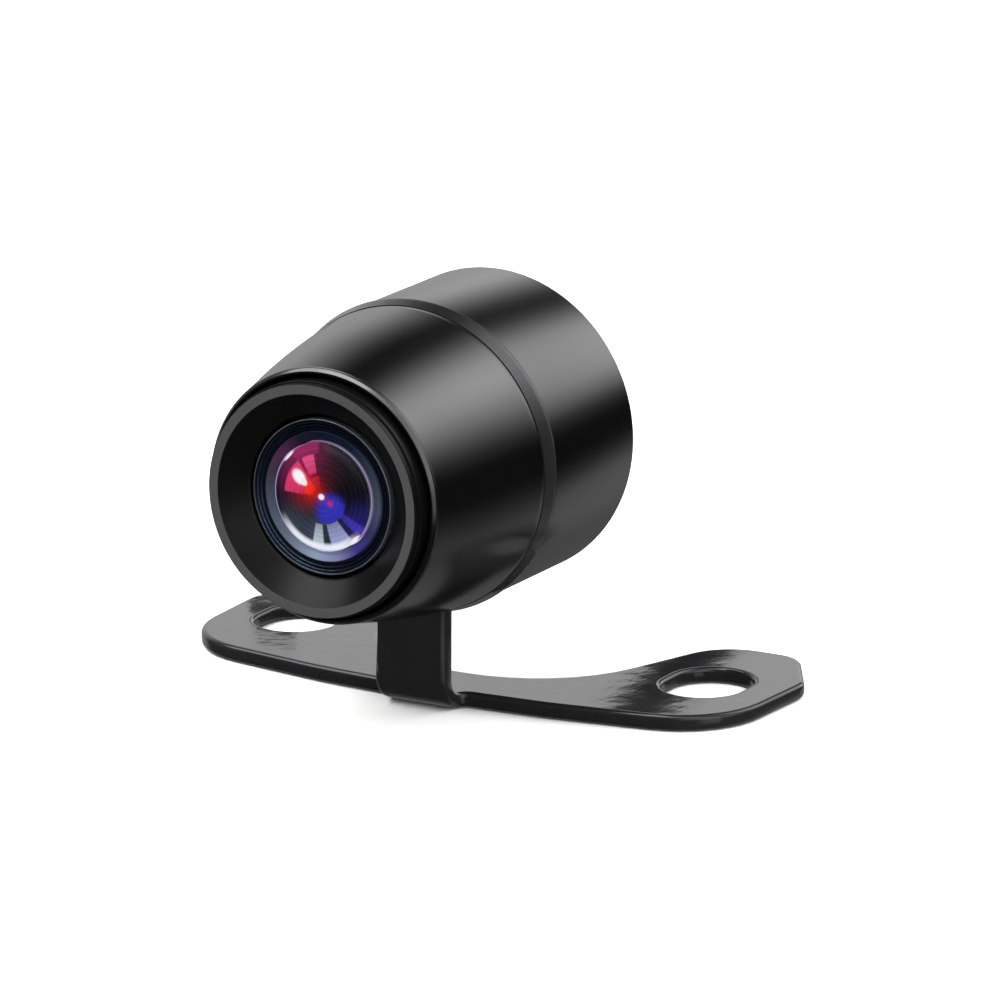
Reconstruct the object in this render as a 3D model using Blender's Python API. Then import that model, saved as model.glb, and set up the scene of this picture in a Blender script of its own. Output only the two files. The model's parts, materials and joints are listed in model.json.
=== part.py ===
"""Backup camera for a truck or trailer: a barrel camera clamped in a stamped butterfly bracket.

The row frame has +Z up and +X along the bracket. The lens looks along -Y. The origin is on the
underside of the bracket's waist. Sizes are in millimetres here and become metres in the meshes.
The barrel's pieces are turned about a line parallel to Y, and each has its origin on that line.
"""
from math import cos, pi, radians, sin, tan

import bmesh
import bpy
from mathutils import Matrix, Vector

MM = 0.001
GAP = 0.3                      # clearance between pieces that touch or run on each other
SHARP_ANGLE = radians(32)
SEGMENTS_SHELL = 56
SEGMENTS_INNER = 28
SEGMENTS_SMALL = 12
SEGMENTS_RING_SECTION = 6
RING_STEPS = 54                # round the clamp ring's rim, from one side of the tongue to the other
HOLE_END_STEPS = 10

# Bracket: one steel stamping, bent once.
SHEET_THICKNESS = 1.2
AXIS_HEIGHT = 19.4             # barrel axis above the bracket's underside
BEND_INNER_RADIUS = 1.3
BEND_STEPS = 6
TONGUE_WIDTH = 6.2
TONGUE_FRONT_Y = -4.9
TONGUE_FILLET = 0.4
RING_STANDS_PROUD = 0.15       # of the rear housing
WING_SPAN = 48.8               # overall length of the bracket
WING_BACK_Y = 18.4
WAIST_SWEEP = (10.0, -1.95, 30.0)
WING_FRONT_SET_IN = 0.6
WING_FRONT_Y = 0.2
WING_FRONT_RADIUS = 7.0
WING_BACK_SET_IN = 3.6
WING_BACK_RADIUS = 2.8
WING_SHOULDER_Y = 12.3
WING_SHOULDER_RADIUS = 2.5
WING_INNER_CORNER = (14.0, 4.6)
WAIST_FRONT_Y = -2.4
WAIST_BACK_Y = 2.35
WAIST_CORNER = (8.5, 10.5)
HOLE_SET_IN = 6.5              # hole centre, from the wing's end
HOLE_Y = 8.9
HOLE_WIDTH = 6.3
HOLE_LENGTH = 7.8

# Rear housing.
HOUSING_RADIUS = 11.85
NECK_STEP_IN = 1.65
NECK_WALL = 1.2
NECK_LENGTH = 6.9
HOUSING_LENGTH = 11.9
HOUSING_LEDGE_WIDTH = 0.8
HOUSING_REAR_WALL = 1.5
HOUSING_EDGE = 0.35

# Front shell, the tapered cap that screws on the neck.
SHELL_LENGTH = 12.2
SHELL_STEP_IN = 0.2             # from the housing at the joint
SHELL_TAPER = 2.0
SHELL_LIP_WALL = 0.45
SHELL_BULGE = 0.22
SHELL_EDGE = 0.3
SHELL_TAPER_STEPS = 6

# Bezel, the insert around the lens.
BEZEL_STANDS_PROUD = 1.4
BEZEL_LENGTH = 6.9
BEZEL_FLANGE_STEP = 0.7
BEZEL_FLANGE_THICKNESS = 0.8
BEZEL_CHAMFER = 0.22
BEZEL_RIM = 0.9
BEZEL_RECESS_DEPTH = 1.5
BEZEL_SLEEVE_WALL = 0.7
BEZEL_FRONT_WALL = 2.8
BEZEL_SLEEVE_SETBACK = 1.1
CAP_SEAL_SECTION = 0.5

# Lens, an M12 barrel and its glass.
LENS_HEAD_RADIUS = 5.85
LENS_THREAD_RADIUS = 5.6
LENS_HEAD_LENGTH = 5.4
LENS_LENGTH = 12.5
LENS_SEAT_DEPTH = 2.1
LENS_SEAT_RADIUS = 5.2
LENS_BORE_RADIUS = 4.0
LENS_REAR_LIP = 1.0
LENS_REAR_RADIUS = 3.0
FRONT_GLASS_RADIUS = 4.05
FRONT_GLASS_SAG = 0.95
FRONT_GLASS_FLANGE = 0.8
FRONT_GLASS_HOLLOW_RADIUS = 2.9
FRONT_GLASS_HOLLOW = 0.8
RETAINER_THICKNESS = 0.7
STOP_HOLE_RADIUS = 1.0
SPACER_WALL = 0.6
ELEMENT_STACK = [              # from the rear: name, shape, thickness, sag of front and rear faces
    ("infrared_filter", "disc", 0.4, 0.0, 0.0),
    ("rear_spacer", "ring", 0.8, 0.0, 0.0),
    ("rear_element", "lens", 1.6, 0.5, -0.4),
    ("aperture_stop", "stop", 0.3, 0.0, 0.0),
    ("middle_element", "lens", 1.3, 0.35, -0.35),
    ("front_spacer", "ring", 0.9, 0.0, 0.0),
    ("second_element", "lens", 0.9, 0.0, 0.35),
]
LOCK_RING_RADIUS = 7.4
LOCK_RING_THICKNESS = 1.2
LENS_SEAL_SECTION = 0.4

# Lens holder and boards.
HOLDER_TUBE_RADIUS = 7.0
HOLDER_TUBE_LENGTH = 6.6
HOLDER_BASE_SET_IN = 1.2        # from the board's edge
HOLDER_BASE_THICKNESS = 2.2
HOLDER_POCKET_RADIUS = 5.0
HOLDER_POCKET_DEPTH = 1.8
HOLDER_WINDOW_RADIUS = 4.6
HOLDER_SCREW_SET_IN = 1.25
SCREW_SHANK_RADIUS = 0.45
SCREW_HEAD_RADIUS = 0.95
SCREW_HEAD_HEIGHT = 0.6
SCREW_GRIP = 1.4
BACK_FOCUS = 3.8                # from the lens's rear end to the sensor board
BOARD_THICKNESS = 0.8
REAR_COMPONENT_HEIGHT = 1.8    # tallest part behind the power board, ahead of the grommet
BOARD_RING_WALL = 0.8
CLAMP_RING_LENGTH = 1.6
SENSOR_SIDE = 6.6
SENSOR_HEIGHT = 0.6
SENSOR_GLASS_SIDE = 5.4
SENSOR_GLASS_HEIGHT = 0.3

# Cable inlet in the rear wall.
INLET_RADIUS = 3.3
GROMMET_FLANGE_RADIUS = 4.4
GROMMET_FLANGE_THICKNESS = 1.0
GROMMET_BORE_RADIUS = 1.6

# Stations along the barrel, from the bracket's ring outwards.
RING_REAR_Y = TONGUE_FRONT_Y + SHEET_THICKNESS
SHELL_REAR_Y = TONGUE_FRONT_Y - GAP
SHELL_FRONT_Y = SHELL_REAR_Y - SHELL_LENGTH
HOUSING_FRONT_Y = RING_REAR_Y + GAP
HOUSING_REAR_Y = HOUSING_FRONT_Y + HOUSING_LENGTH
NECK_FRONT_Y = HOUSING_FRONT_Y - NECK_LENGTH
BEZEL_FRONT_Y = SHELL_FRONT_Y - BEZEL_STANDS_PROUD
BEZEL_REAR_Y = BEZEL_FRONT_Y + BEZEL_LENGTH
LENS_FRONT_Y = BEZEL_FRONT_Y + BEZEL_RECESS_DEPTH
LENS_REAR_Y = LENS_FRONT_Y + LENS_LENGTH
HOUSING_FLOOR_Y = HOUSING_REAR_Y - HOUSING_REAR_WALL
GROMMET_FRONT_Y = HOUSING_FLOOR_Y - GAP - GROMMET_FLANGE_THICKNESS
POWER_BOARD_REAR_Y = GROMMET_FRONT_Y - GAP - REAR_COMPONENT_HEIGHT - GAP
HOUSING_LEDGE_Y = POWER_BOARD_REAR_Y + GAP
POWER_BOARD_FRONT_Y = POWER_BOARD_REAR_Y - BOARD_THICKNESS
SENSOR_BOARD_FRONT_Y = LENS_REAR_Y + BACK_FOCUS
SENSOR_BOARD_REAR_Y = SENSOR_BOARD_FRONT_Y + BOARD_THICKNESS
BOARD_SPACING = POWER_BOARD_FRONT_Y - SENSOR_BOARD_REAR_Y
HOLDER_REAR_Y = SENSOR_BOARD_FRONT_Y - GAP
CONNECTOR_HEIGHT = BOARD_SPACING - 2 * GAP

# Parts soldered on a board's rear face: name, bearing from +X (none for the middle), width,
# length, height and finish.
SENSOR_BOARD_PARTS = [
    ("video_processor", None, 5.0, 5.0, 0.8, "ceramic"),
    ("crystal", 225, 3.2, 2.0, 0.8, "metal"),
    ("board_connector", 90, 7.0, 2.2, CONNECTOR_HEIGHT, "plastic"),
]
POWER_BOARD_PARTS = [
    ("power_inductor", 225, 3.4, 3.4, REAR_COMPONENT_HEIGHT, "ceramic"),
    ("smoothing_capacitor", 315, 3.4, 2.8, 1.5, "plastic"),
    ("voltage_regulator", 270, 2.9, 2.4, 1.0, "ceramic"),
    ("cable_socket", 90, 6.2, 2.4, REAR_COMPONENT_HEIGHT, "plastic"),
]

# Radii that follow their neighbours.
NECK_RADIUS = HOUSING_RADIUS - NECK_STEP_IN
HOUSING_BORE_RADIUS = NECK_RADIUS - NECK_WALL
HOUSING_LEDGE_RADIUS = HOUSING_BORE_RADIUS - HOUSING_LEDGE_WIDTH
BOARD_RADIUS = HOUSING_BORE_RADIUS - GAP
HOLDER_BASE_RADIUS = BOARD_RADIUS - HOLDER_BASE_SET_IN
HOLDER_SCREW_PITCH_RADIUS = HOLDER_BASE_RADIUS - HOLDER_SCREW_SET_IN
RING_OUTER_RADIUS = HOUSING_RADIUS + RING_STANDS_PROUD
RING_BORE_RADIUS = NECK_RADIUS + GAP
SHELL_REAR_RADIUS = HOUSING_RADIUS - SHELL_STEP_IN
SHELL_LIP_RADIUS = SHELL_REAR_RADIUS - SHELL_TAPER
BEZEL_BORE_RADIUS = LENS_HEAD_RADIUS + GAP
SHELL_MOUTH_RADIUS = SHELL_LIP_RADIUS - SHELL_LIP_WALL
BEZEL_RADIUS = SHELL_MOUTH_RADIUS - GAP
BEZEL_RECESS_RADIUS = BEZEL_RADIUS - BEZEL_RIM
BEZEL_FLANGE_RADIUS = BEZEL_RADIUS + BEZEL_FLANGE_STEP
THREAD_BORE_RADIUS = LENS_THREAD_RADIUS + GAP
GLASS_RADIUS = LENS_BORE_RADIUS - GAP
HOLE_X = WING_SPAN / 2 - HOLE_SET_IN


def clear_scene():
    for old in list(bpy.data.objects):
        bpy.data.objects.remove(old, do_unlink=True)


def finish_material(name, color, roughness, metallic=0.0):
    material = bpy.data.materials.new(name)
    material.use_nodes = True
    shader = material.node_tree.nodes["Principled BSDF"]
    shader.inputs["Base Color"].default_value = (*color, 1.0)
    shader.inputs["Roughness"].default_value = roughness
    shader.inputs["Metallic"].default_value = metallic
    material.diffuse_color = (*color, 1.0)
    return material


def add_piece(name, mesh_builder, material, location=(0.0, 0.0, 0.0)):
    """Make one named object from a bmesh in millimetres."""
    bmesh.ops.scale(mesh_builder, vec=(MM, MM, MM), verts=mesh_builder.verts)
    bmesh.ops.recalc_face_normals(mesh_builder, faces=mesh_builder.faces)
    mesh = bpy.data.meshes.new(name)
    mesh_builder.to_mesh(mesh)
    mesh_builder.free()
    mesh.shade_smooth()
    mesh.set_sharp_from_angle(angle=SHARP_ANGLE)
    mesh.materials.append(material)
    piece = bpy.data.objects.new(name, mesh)
    piece.location = Vector(location) * MM
    bpy.context.scene.collection.objects.link(piece)
    return piece


def add_barrel_piece(name, mesh_builder, material):
    """Make a piece whose origin is on the barrel's axis."""
    return add_piece(name, mesh_builder, material, (0.0, 0.0, AXIS_HEIGHT))


def turned(outline, segments):
    """Turn a closed outline of (radius, station) points about the Y axis."""
    builder = bmesh.new()
    points = [builder.verts.new((radius, station, 0.0)) for radius, station in outline]
    edges = [builder.edges.new(pair) for pair in zip(points, points[1:] + points[:1])]
    on_axis = [edge for edge in edges if all(v.co.x == 0.0 for v in edge.verts)]
    for edge in on_axis:
        edges.remove(edge)
        builder.edges.remove(edge)
    bmesh.ops.spin(builder, geom=points + edges, cent=(0, 0, 0), axis=(0, 1, 0),
                   angle=2 * pi, steps=segments, use_merge=True)
    bmesh.ops.remove_doubles(builder, verts=builder.verts, dist=1e-4)
    return builder


def block(size, centre):
    """A box of the given size about a centre, both as (x, y, z)."""
    builder = bmesh.new()
    place = Matrix.Translation(centre) @ Matrix.Diagonal((*size, 1.0))
    bmesh.ops.create_cube(builder, size=1.0, matrix=place)
    return builder


def rod(radius, start, end, x=0.0, z=0.0, segments=SEGMENTS_SMALL):
    """A round bar along Y from one station to another."""
    builder = bmesh.new()
    place = Matrix.Translation((x, (start + end) / 2, z)) @ Matrix.Rotation(pi / 2, 4, "X")
    bmesh.ops.create_cone(builder, cap_ends=True, segments=segments, radius1=radius,
                          radius2=radius, depth=end - start, matrix=place)
    return builder


def cut(piece, cutter_builder, name):
    """Subtract a cutter, which shares the piece's origin, with a Boolean modifier."""
    bmesh.ops.scale(cutter_builder, vec=(MM, MM, MM), verts=cutter_builder.verts)
    bmesh.ops.recalc_face_normals(cutter_builder, faces=cutter_builder.faces)
    mesh = bpy.data.meshes.new(name)
    cutter_builder.to_mesh(mesh)
    cutter_builder.free()
    cutter = bpy.data.objects.new(name, mesh)
    cutter.location = piece.location
    cutter.hide_render = True
    cutter.display_type = "WIRE"
    bpy.context.scene.collection.objects.link(cutter)
    modifier = piece.modifiers.new(name, "BOOLEAN")
    modifier.operation = "DIFFERENCE"
    modifier.object = cutter


def ring_outline(inner, outer, front, rear):
    return [(inner, front), (outer, front), (outer, rear), (inner, rear)]


def round_ring(centre_radius, centre_station, section_radius):
    """The outline of an O-ring's round section."""
    turn = 2 * pi / SEGMENTS_RING_SECTION
    return [(centre_radius + section_radius * cos(step * turn),
             centre_station + section_radius * sin(step * turn))
            for step in range(SEGMENTS_RING_SECTION)]


def dome(radius, station, sag, steps=3):
    """Points of a spherical face from the axis to its rim at the station; sag towards -Y."""
    if sag == 0:
        return [(0.0, station), (radius, station)]
    sphere = (radius ** 2 + sag ** 2) / (2 * sag)
    points = []
    for step in range(steps + 1):
        r = radius * step / steps
        height = (abs(sphere) - (sphere ** 2 - r ** 2) ** 0.5) * (1 if sag > 0 else -1)
        points.append((r, station - sag + height))
    return points


def rounded(corners):
    """Turn corners (x, y, radius) into an open line whose corners are arcs."""
    points = []
    for before, corner, after in zip(corners, corners[1:], corners[2:]):
        here = Vector(corner[:2])
        into = (here - Vector(before[:2])).normalized()
        out = (Vector(after[:2]) - here).normalized()
        turn = into.angle_signed(out)
        reach = corner[2] * tan(abs(turn) / 2)
        start = here - into * reach
        side = 1 if turn > 0 else -1
        centre = start + Vector((into.y, -into.x)) * corner[2] * side
        steps = max(2, round(abs(turn) / radians(15)))
        for step in range(steps + 1):
            arm = start - centre
            arm.rotate(Matrix.Rotation(-turn * step / steps, 2))
            points.append(tuple(centre + arm))
    return [corners[0][:2], *points, corners[-1][:2]]


def loop_of(builder, points):
    verts = [builder.verts.new((x, y, 0.0)) for x, y in points]
    return [builder.edges.new(pair) for pair in zip(verts, verts[1:] + verts[:1])]


def circle_points(x, y, radius, start, end, steps):
    return [(x + radius * cos(start + (end - start) * step / steps),
             y + radius * sin(start + (end - start) * step / steps)) for step in range(steps + 1)]


def slot_points(x, y, width, length):
    """A hole with two round ends, longer along Y."""
    radius = width / 2
    shift = (length - width) / 2
    top = circle_points(x, y + shift, radius, 0, pi, HOLE_END_STEPS)
    bottom = circle_points(x, y - shift, radius, pi, 2 * pi, HOLE_END_STEPS)
    return top + bottom


def wing_outline():
    """Half of the plate's edge, from the tongue round the right wing to the waist's back."""
    half_span = WING_SPAN / 2
    return rounded([
        (TONGUE_WIDTH / 2, WAIST_FRONT_Y - TONGUE_FILLET, 0),
        (TONGUE_WIDTH / 2, WAIST_FRONT_Y, TONGUE_FILLET),
        WAIST_SWEEP,
        (half_span - WING_FRONT_SET_IN, WING_FRONT_Y, WING_FRONT_RADIUS),
        (half_span, WING_SHOULDER_Y, WING_SHOULDER_RADIUS),
        (half_span - WING_BACK_SET_IN, WING_BACK_Y, WING_BACK_RADIUS),
        (WING_INNER_CORNER[0], WING_BACK_Y, WING_INNER_CORNER[1]),
        (WAIST_CORNER[0], WAIST_BACK_Y, WAIST_CORNER[1]),
        (0.0, WAIST_BACK_Y, 0),
    ])


def blank_to_bracket(point):
    """Bend a point of the flat blank up about the bend line; z is its height in the sheet."""
    bend_start = TONGUE_FRONT_Y + BEND_INNER_RADIUS + SHEET_THICKNESS
    neutral = BEND_INNER_RADIUS + SHEET_THICKNESS / 2
    centre_z = BEND_INNER_RADIUS + SHEET_THICKNESS
    run = bend_start - point.y
    if run <= 0:
        return point
    arm = centre_z - point.z
    angle = min(run / neutral, pi / 2)
    beyond = max(run - neutral * pi / 2, 0.0)
    return Vector((point.x, bend_start - arm * sin(angle), centre_z - arm * cos(angle) + beyond))


def make_bracket(paint):
    """Cut the flat blank, with the clamp ring at the tongue's end, and bend the tongue up."""
    bend_start = TONGUE_FRONT_Y + BEND_INNER_RADIUS + SHEET_THICKNESS
    bend_length = (BEND_INNER_RADIUS + SHEET_THICKNESS / 2) * pi / 2
    ring_y = bend_start - bend_length - (AXIS_HEIGHT - BEND_INNER_RADIUS - SHEET_THICKNESS)
    root_angle = (TONGUE_WIDTH / 2) / RING_OUTER_RADIUS
    ring_edge = circle_points(0, ring_y, RING_OUTER_RADIUS, pi / 2 - root_angle,
                              -3 * pi / 2 + root_angle, RING_STEPS)
    right = wing_outline()
    left = [(-x, y) for x, y in reversed(right[:-1])]
    builder = bmesh.new()
    edges = loop_of(builder, ring_edge[::-1] + right[:-1] + [right[-1]] + left)
    edges += loop_of(builder, circle_points(0, ring_y, RING_BORE_RADIUS, 0,
                                            2 * pi * (1 - 1 / SEGMENTS_SHELL), SEGMENTS_SHELL - 1))
    for side in (-1, 1):
        edges += loop_of(builder, slot_points(side * HOLE_X, HOLE_Y, HOLE_WIDTH, HOLE_LENGTH))
    bmesh.ops.triangle_fill(builder, use_beauty=True, use_dissolve=False, edges=edges)
    for step in range(BEND_STEPS + 1):
        line_y = bend_start - bend_length * step / BEND_STEPS
        bmesh.ops.bisect_plane(builder, geom=builder.verts[:] + builder.edges[:] + builder.faces[:],
                               plane_co=(0, line_y, 0), plane_no=(0, 1, 0), dist=1e-4)
    sheet = bmesh.ops.extrude_face_region(builder, geom=builder.faces[:])
    top = [item for item in sheet["geom"] if isinstance(item, bmesh.types.BMVert)]
    bmesh.ops.translate(builder, verts=top, vec=(0, 0, SHEET_THICKNESS))
    for vert in builder.verts:
        vert.co = blank_to_bracket(vert.co)
    return add_piece("bracket", builder, paint)


def make_rear_housing(paint):
    """The cup behind the bracket's ring, with the threaded neck that passes through it."""
    ledge = HOUSING_LEDGE_Y
    floor = HOUSING_FLOOR_Y
    edge = HOUSING_EDGE
    outline = [
        (HOUSING_BORE_RADIUS, NECK_FRONT_Y), (NECK_RADIUS - edge, NECK_FRONT_Y),
        (NECK_RADIUS, NECK_FRONT_Y + edge), (NECK_RADIUS, HOUSING_FRONT_Y),
        (HOUSING_RADIUS - edge, HOUSING_FRONT_Y), (HOUSING_RADIUS, HOUSING_FRONT_Y + edge),
        (HOUSING_RADIUS, HOUSING_REAR_Y - edge), (HOUSING_RADIUS - edge, HOUSING_REAR_Y),
        (INLET_RADIUS, HOUSING_REAR_Y), (INLET_RADIUS, floor),
        (HOUSING_LEDGE_RADIUS, floor), (HOUSING_LEDGE_RADIUS, ledge),
        (HOUSING_BORE_RADIUS, ledge),
    ]
    return add_barrel_piece("rear_housing", turned(outline, SEGMENTS_SHELL), paint)


def make_cable_grommet(rubber):
    """A rubber bush that grips the rear wall; its bore is the cable's inlet."""
    waist = INLET_RADIUS - GAP
    inside = HOUSING_FLOOR_Y - GAP
    outside = HOUSING_REAR_Y + GAP
    outline = [
        (GROMMET_BORE_RADIUS, GROMMET_FRONT_Y), (GROMMET_FLANGE_RADIUS - GAP, GROMMET_FRONT_Y),
        (GROMMET_FLANGE_RADIUS, inside), (waist, inside), (waist, outside),
        (GROMMET_FLANGE_RADIUS, outside),
        (GROMMET_FLANGE_RADIUS - GAP, outside + GROMMET_FLANGE_THICKNESS),
        (GROMMET_BORE_RADIUS, outside + GROMMET_FLANGE_THICKNESS),
    ]
    return add_barrel_piece("cable_grommet", turned(outline, SEGMENTS_INNER), rubber)


def shell_radius(part):
    """Outer radius of the taper, from 0 at the lip to 1 at the rear edge."""
    taper = SHELL_LIP_RADIUS + (SHELL_REAR_RADIUS - SHELL_LIP_RADIUS) * part
    return taper + SHELL_BULGE * sin(pi * part)


def make_front_shell(paint):
    """The tapered cap: rounded lip, shoulder behind the bezel's flange, bore for the thread."""
    shoulder = BEZEL_REAR_Y - BEZEL_FLANGE_THICKNESS - GAP
    flange_bore = BEZEL_FLANGE_RADIUS + GAP
    thread_start = NECK_FRONT_Y - GAP
    thread_bore = NECK_RADIUS + GAP
    lip_round = SHELL_LIP_WALL / 2
    taper_front = SHELL_FRONT_Y + lip_round
    taper_length = SHELL_REAR_Y - SHELL_EDGE - taper_front
    outline = [(SHELL_MOUTH_RADIUS + lip_round / 2, SHELL_FRONT_Y),
               (SHELL_LIP_RADIUS - lip_round / 2, SHELL_FRONT_Y)]
    for step in range(SHELL_TAPER_STEPS + 1):
        part = step / SHELL_TAPER_STEPS
        outline.append((shell_radius(part), taper_front + taper_length * part))
    outline += [
        (SHELL_REAR_RADIUS - SHELL_EDGE, SHELL_REAR_Y), (thread_bore, SHELL_REAR_Y),
        (thread_bore, thread_start), (flange_bore, thread_start), (flange_bore, shoulder),
        (SHELL_MOUTH_RADIUS, shoulder), (SHELL_MOUTH_RADIUS, taper_front),
    ]
    return add_barrel_piece("front_shell", turned(outline, SEGMENTS_SHELL), paint)


def make_bezel(plastic):
    """The insert in the shell's mouth: flat ring, conical recess, sleeve around the lens."""
    front = BEZEL_FRONT_Y
    flange_front = BEZEL_REAR_Y - BEZEL_FLANGE_THICKNESS
    sleeve_outer = BEZEL_BORE_RADIUS + BEZEL_SLEEVE_WALL
    skirt_inner = BEZEL_RADIUS - BEZEL_SLEEVE_WALL
    pocket = front + BEZEL_FRONT_WALL
    sleeve_rear = BEZEL_REAR_Y - BEZEL_SLEEVE_SETBACK
    outline = [
        (BEZEL_BORE_RADIUS, front + BEZEL_RECESS_DEPTH), (BEZEL_RECESS_RADIUS, front),
        (BEZEL_RADIUS - BEZEL_CHAMFER, front), (BEZEL_RADIUS, front + BEZEL_CHAMFER),
        (BEZEL_RADIUS, flange_front), (BEZEL_FLANGE_RADIUS, flange_front),
        (BEZEL_FLANGE_RADIUS, BEZEL_REAR_Y), (skirt_inner, BEZEL_REAR_Y), (skirt_inner, pocket),
        (sleeve_outer, pocket), (sleeve_outer, sleeve_rear), (BEZEL_BORE_RADIUS, sleeve_rear),
    ]
    return add_barrel_piece("bezel_ring", turned(outline, SEGMENTS_SHELL), plastic)


def make_seals(rubber):
    """The cap's seal, carried behind the bezel's flange, and the seal round the lens head."""
    radius = BEZEL_FLANGE_RADIUS - CAP_SEAL_SECTION
    station = BEZEL_REAR_Y + GAP + CAP_SEAL_SECTION
    section = round_ring(radius, station, CAP_SEAL_SECTION)
    add_barrel_piece("cap_seal", turned(section, SEGMENTS_INNER), rubber)
    radius = LENS_HEAD_RADIUS + GAP + LENS_SEAL_SECTION
    station = BEZEL_REAR_Y - BEZEL_SLEEVE_SETBACK + GAP + LENS_SEAL_SECTION
    section = round_ring(radius, station, LENS_SEAL_SECTION)
    add_barrel_piece("lens_seal", turned(section, SEGMENTS_INNER), rubber)


def make_lens_barrel(metal):
    seat = LENS_FRONT_Y + LENS_SEAT_DEPTH
    thread = LENS_FRONT_Y + LENS_HEAD_LENGTH
    lip = LENS_REAR_Y - LENS_REAR_LIP
    outline = [
        (LENS_SEAT_RADIUS, LENS_FRONT_Y), (LENS_HEAD_RADIUS, LENS_FRONT_Y),
        (LENS_HEAD_RADIUS, thread), (LENS_THREAD_RADIUS, thread),
        (LENS_THREAD_RADIUS, LENS_REAR_Y), (LENS_REAR_RADIUS, LENS_REAR_Y),
        (LENS_REAR_RADIUS, lip), (LENS_BORE_RADIUS, lip), (LENS_BORE_RADIUS, seat),
        (LENS_SEAT_RADIUS, seat),
    ]
    add_barrel_piece("lens_barrel", turned(outline, SEGMENTS_SHELL), metal)


def make_front_glass(glass, metal):
    """The domed front element, flanged behind the ring that holds it in its seat."""
    seat = LENS_FRONT_Y + LENS_SEAT_DEPTH
    flange_rear = seat - GAP
    flange_front = flange_rear - FRONT_GLASS_FLANGE
    flange_radius = LENS_SEAT_RADIUS - GAP
    face = dome(FRONT_GLASS_RADIUS, LENS_FRONT_Y, FRONT_GLASS_SAG, 6)
    hollow = dome(FRONT_GLASS_HOLLOW_RADIUS, flange_rear, FRONT_GLASS_HOLLOW, 4)
    outline = face + [(FRONT_GLASS_RADIUS, flange_front), (flange_radius, flange_front),
                      (flange_radius, flange_rear)] + hollow[::-1]
    add_barrel_piece("front_glass", turned(outline, SEGMENTS_INNER), glass)
    retainer_rear = flange_front - GAP
    ring = ring_outline(FRONT_GLASS_RADIUS + GAP, flange_radius,
                        retainer_rear - RETAINER_THICKNESS, retainer_rear)
    add_barrel_piece("glass_retainer", turned(ring, SEGMENTS_INNER), metal)


def make_element_stack(glass, plastic, filter_glass):
    """Elements, spacers, stop and filter, dropped in from the front onto the barrel's lip."""
    bore = GLASS_RADIUS
    rear = LENS_REAR_Y - LENS_REAR_LIP - GAP
    finishes = {"lens": glass, "disc": filter_glass, "ring": plastic, "stop": plastic}
    for name, shape, thickness, front_sag, rear_sag in ELEMENT_STACK:
        front = rear - thickness
        if shape in ("ring", "stop"):
            hole = STOP_HOLE_RADIUS if shape == "stop" else bore - SPACER_WALL
            outline = ring_outline(hole, bore, front, rear)
        else:
            outline = (dome(bore, front + max(front_sag, 0), front_sag)
                       + dome(bore, rear + min(rear_sag, 0), rear_sag)[::-1])
        add_barrel_piece(name, turned(outline, SEGMENTS_INNER), finishes[shape])
        rear = front - GAP


def make_lens_mount(plastic, metal):
    """The holder that the lens screws into, the ring that locks it and the holder's screws."""
    base_front = HOLDER_REAR_Y - HOLDER_BASE_THICKNESS
    tube_front = base_front - HOLDER_TUBE_LENGTH
    pocket = HOLDER_REAR_Y - HOLDER_POCKET_DEPTH
    outline = [
        (THREAD_BORE_RADIUS, tube_front), (HOLDER_TUBE_RADIUS, tube_front),
        (HOLDER_TUBE_RADIUS, base_front), (HOLDER_BASE_RADIUS, base_front),
        (HOLDER_BASE_RADIUS, HOLDER_REAR_Y), (HOLDER_POCKET_RADIUS, HOLDER_REAR_Y),
        (HOLDER_POCKET_RADIUS, pocket), (HOLDER_WINDOW_RADIUS, pocket),
        (HOLDER_WINDOW_RADIUS, base_front), (THREAD_BORE_RADIUS, base_front),
    ]
    holder = add_barrel_piece("lens_holder", turned(outline, SEGMENTS_INNER), plastic)
    lock_rear = tube_front - GAP
    ring = ring_outline(THREAD_BORE_RADIUS, LOCK_RING_RADIUS, lock_rear - LOCK_RING_THICKNESS,
                        lock_rear)
    add_barrel_piece("lens_lock_ring", turned(ring, SEGMENTS_INNER), metal)
    return holder


def make_sensor_board(resin, holder, metal):
    """The board behind the holder and the two screws that pull the holder onto it."""
    board = add_barrel_piece("sensor_board", rod(BOARD_RADIUS, SENSOR_BOARD_FRONT_Y,
                             SENSOR_BOARD_REAR_Y, segments=SEGMENTS_INNER), resin)
    hole = SCREW_SHANK_RADIUS + GAP
    for side, word in ((-1, "left"), (1, "right")):
        x = side * HOLDER_SCREW_PITCH_RADIUS
        cut(board, rod(hole, SENSOR_BOARD_FRONT_Y - GAP, SENSOR_BOARD_REAR_Y + GAP, x,
                       segments=SEGMENTS_SMALL), f"board_hole_{word}")
        cut(holder, rod(hole, HOLDER_REAR_Y - SCREW_GRIP, HOLDER_REAR_Y + GAP, x,
                        segments=SEGMENTS_SMALL), f"holder_hole_{word}")
        tip = HOLDER_REAR_Y - SCREW_GRIP + GAP
        neck = SENSOR_BOARD_REAR_Y + GAP
        outline = [(0, tip), (SCREW_SHANK_RADIUS, tip), (SCREW_SHANK_RADIUS, neck),
                   (SCREW_HEAD_RADIUS, neck), (SCREW_HEAD_RADIUS, neck + SCREW_HEAD_HEIGHT),
                   (0, neck + SCREW_HEAD_HEIGHT)]
        screw = turned(outline, SEGMENTS_SMALL)
        bmesh.ops.translate(screw, verts=screw.verts, vec=(x, 0, 0))
        add_barrel_piece(f"holder_screw_{word}", screw, metal)


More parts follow.
